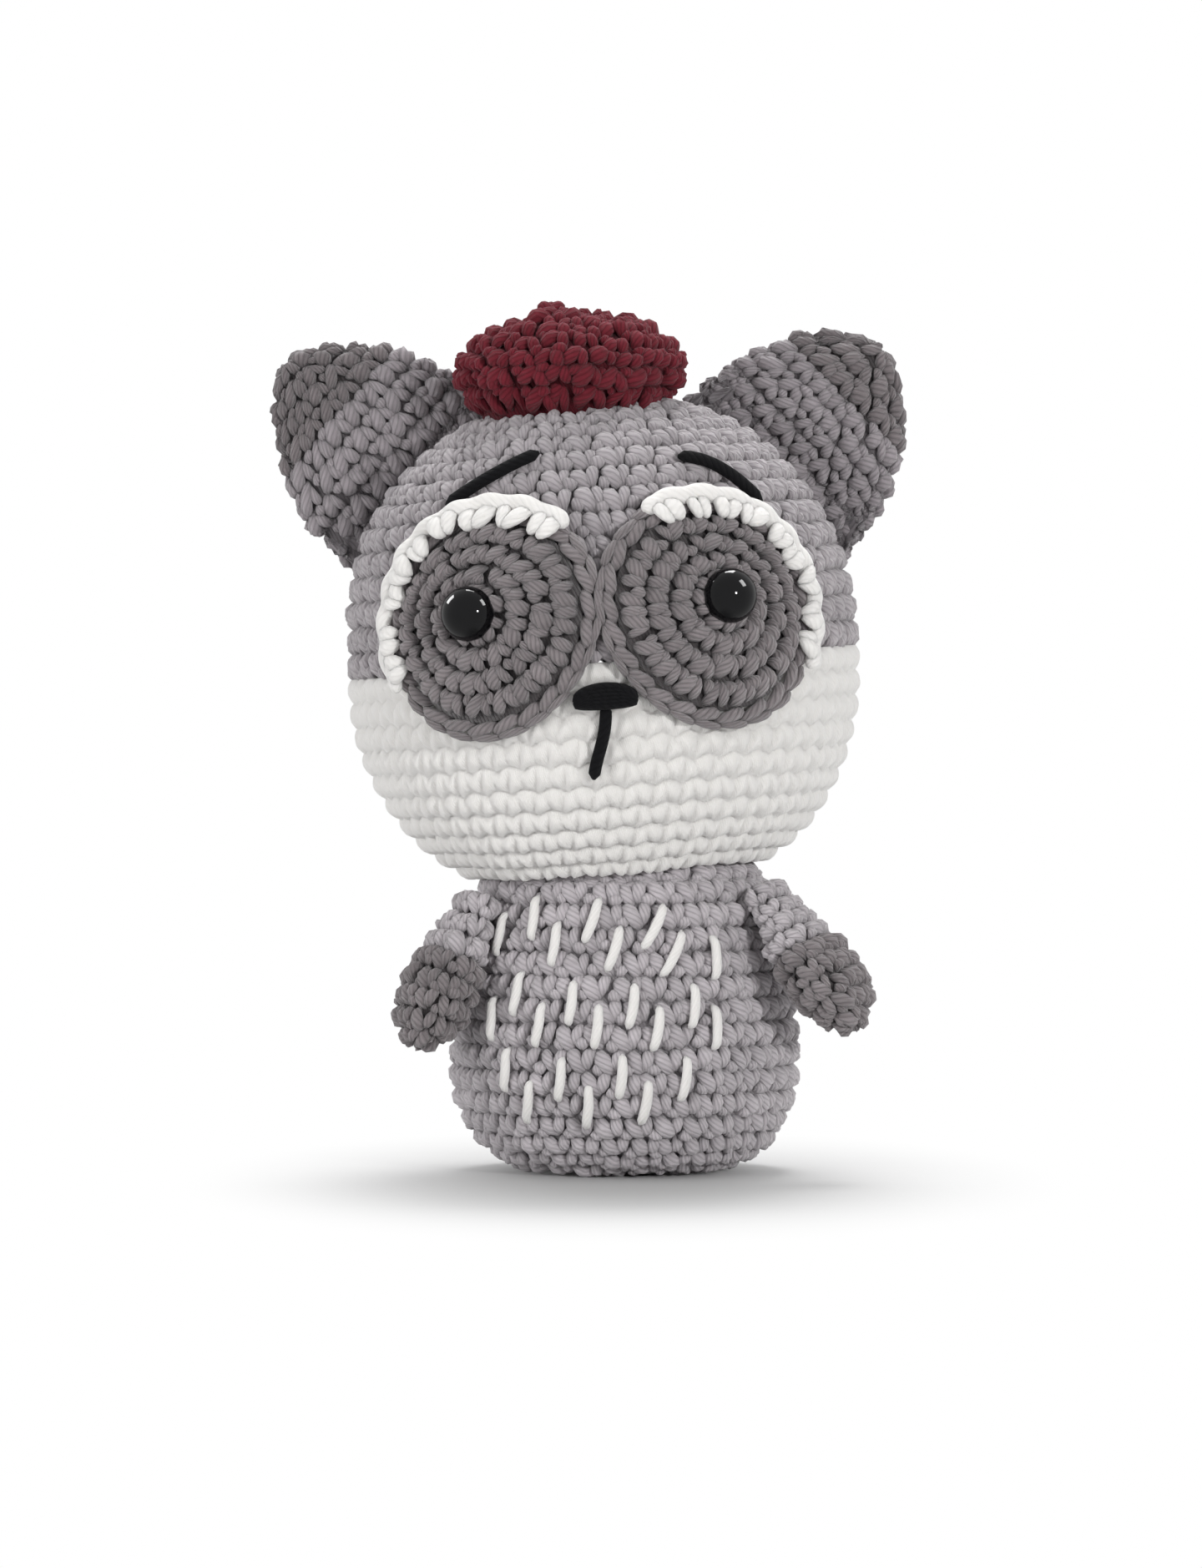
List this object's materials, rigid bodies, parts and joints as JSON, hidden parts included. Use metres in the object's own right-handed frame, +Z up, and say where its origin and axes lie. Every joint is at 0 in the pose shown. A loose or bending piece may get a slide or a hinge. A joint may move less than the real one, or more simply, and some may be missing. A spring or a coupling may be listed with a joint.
{
  "type": "crocheted stuffed toy",
  "caption": "Crocheted stuffed raccoon with a big round head, folding ears, swinging arms, safety eyes and a sewn-on beret; the head turns and nods on its neck seam.",
  "frame": {"origin": "centre of the flat base that the toy stands on", "axes": "+Z up, the face towards -Y, +X to the right of someone who looks at the face"},
  "size_m": [0.0968, 0.0799, 0.1306],
  "materials": {
    "light_grey_yarn": "light grey single crochet",
    "dark_grey_yarn": "dark grey single crochet",
    "white_yarn": "off-white yarn",
    "burgundy_yarn": "burgundy single crochet",
    "black_yarn": "black embroidery yarn",
    "black_plastic": "gloss black",
    "washer_plastic": "natural, matt",
    "fibrefill": "loose polyester fibre"
  },
  "bodies": {
    "torso": {"body_cover": "light_grey_yarn", "body_stuffing": "fibrefill", "fur_stitch_01": "white_yarn", "fur_stitch_02": "white_yarn", "fur_stitch_03": "white_yarn", "fur_stitch_04": "white_yarn", "fur_stitch_05": "white_yarn", "fur_stitch_06": "white_yarn", "fur_stitch_07": "white_yarn", "fur_stitch_08": "white_yarn", "fur_stitch_09": "white_yarn", "fur_stitch_10": "white_yarn", "fur_stitch_11": "white_yarn", "fur_stitch_12": "white_yarn", "fur_stitch_13": "white_yarn", "fur_stitch_14": "white_yarn", "fur_stitch_15": "white_yarn", "fur_stitch_16": "white_yarn", "fur_stitch_17": "white_yarn", "fur_stitch_18": "white_yarn", "fur_stitch_19": "white_yarn", "fur_stitch_20": "white_yarn", "fur_stitch_21": "white_yarn", "fur_stitch_22": "white_yarn", "fur_stitch_23": "white_yarn", "fur_stitch_24": "white_yarn"},
    "neck": {"neck_seam": "light_grey_yarn"},
    "head": {"crown_cover": "light_grey_yarn", "jaw_cover": "white_yarn", "head_stuffing": "fibrefill", "left_eye_patch": "dark_grey_yarn", "right_eye_patch": "dark_grey_yarn", "left_patch_edging": "white_yarn", "right_patch_edging": "white_yarn", "left_eye": "black_plastic", "right_eye": "black_plastic", "left_eye_washer": "washer_plastic", "right_eye_washer": "washer_plastic", "nose": "black_yarn", "mouth_stitch": "black_yarn", "left_eyebrow": "black_yarn", "right_eyebrow": "black_yarn", "beret": "burgundy_yarn", "beret_stem": "burgundy_yarn", "beret_stuffing": "fibrefill"},
    "left_ear": {"left_ear_base": "light_grey_yarn", "left_ear_tip": "dark_grey_yarn"},
    "right_ear": {"right_ear_base": "light_grey_yarn", "right_ear_tip": "dark_grey_yarn"},
    "left_arm": {"left_sleeve": "light_grey_yarn", "left_paw": "dark_grey_yarn", "left_arm_stuffing": "fibrefill"},
    "right_arm": {"right_sleeve": "light_grey_yarn", "right_paw": "dark_grey_yarn", "right_arm_stuffing": "fibrefill"}
  },
  "joints": [
    {"name": "head_turn", "type": "hinge", "parent": "torso", "child": "neck", "pos_m": [0, 0, 0.0298], "axis": [0, 0, 1], "range_deg": [-15, 15], "stiffness_Nm_per_rad": 0.3},
    {"name": "head_nod", "type": "hinge", "parent": "neck", "child": "head", "pos_m": [0, 0, 0.0298], "axis": [1, 0, 0], "range_deg": [-10, 5], "stiffness_Nm_per_rad": 0.3},
    {"name": "left_ear_fold", "type": "hinge", "parent": "head", "child": "left_ear", "pos_m": [-0.03248, 0.006, 0.10173], "axis": [0.6197, 0, 0.7848], "range_deg": [-20, 12], "stiffness_Nm_per_rad": 0.02},
    {"name": "right_ear_fold", "type": "hinge", "parent": "head", "child": "right_ear", "pos_m": [0.02324, 0.006, 0.10372], "axis": [0.6779, 0, -0.7351], "range_deg": [-20, 12], "stiffness_Nm_per_rad": 0.02},
    {"name": "left_arm_lift", "type": "hinge", "parent": "torso", "child": "left_arm", "pos_m": [-0.02158, -0.01196, 0.041], "axis": [-0.4848, 0.8746, 0], "range_deg": [0, 55], "stiffness_Nm_per_rad": 0.02},
    {"name": "right_arm_lift", "type": "hinge", "parent": "torso", "child": "right_arm", "pos_m": [0.02115, -0.0127, 0.041], "axis": [-0.515, -0.8572, 0], "range_deg": [-12, 55], "stiffness_Nm_per_rad": 0.02}
  ]
}
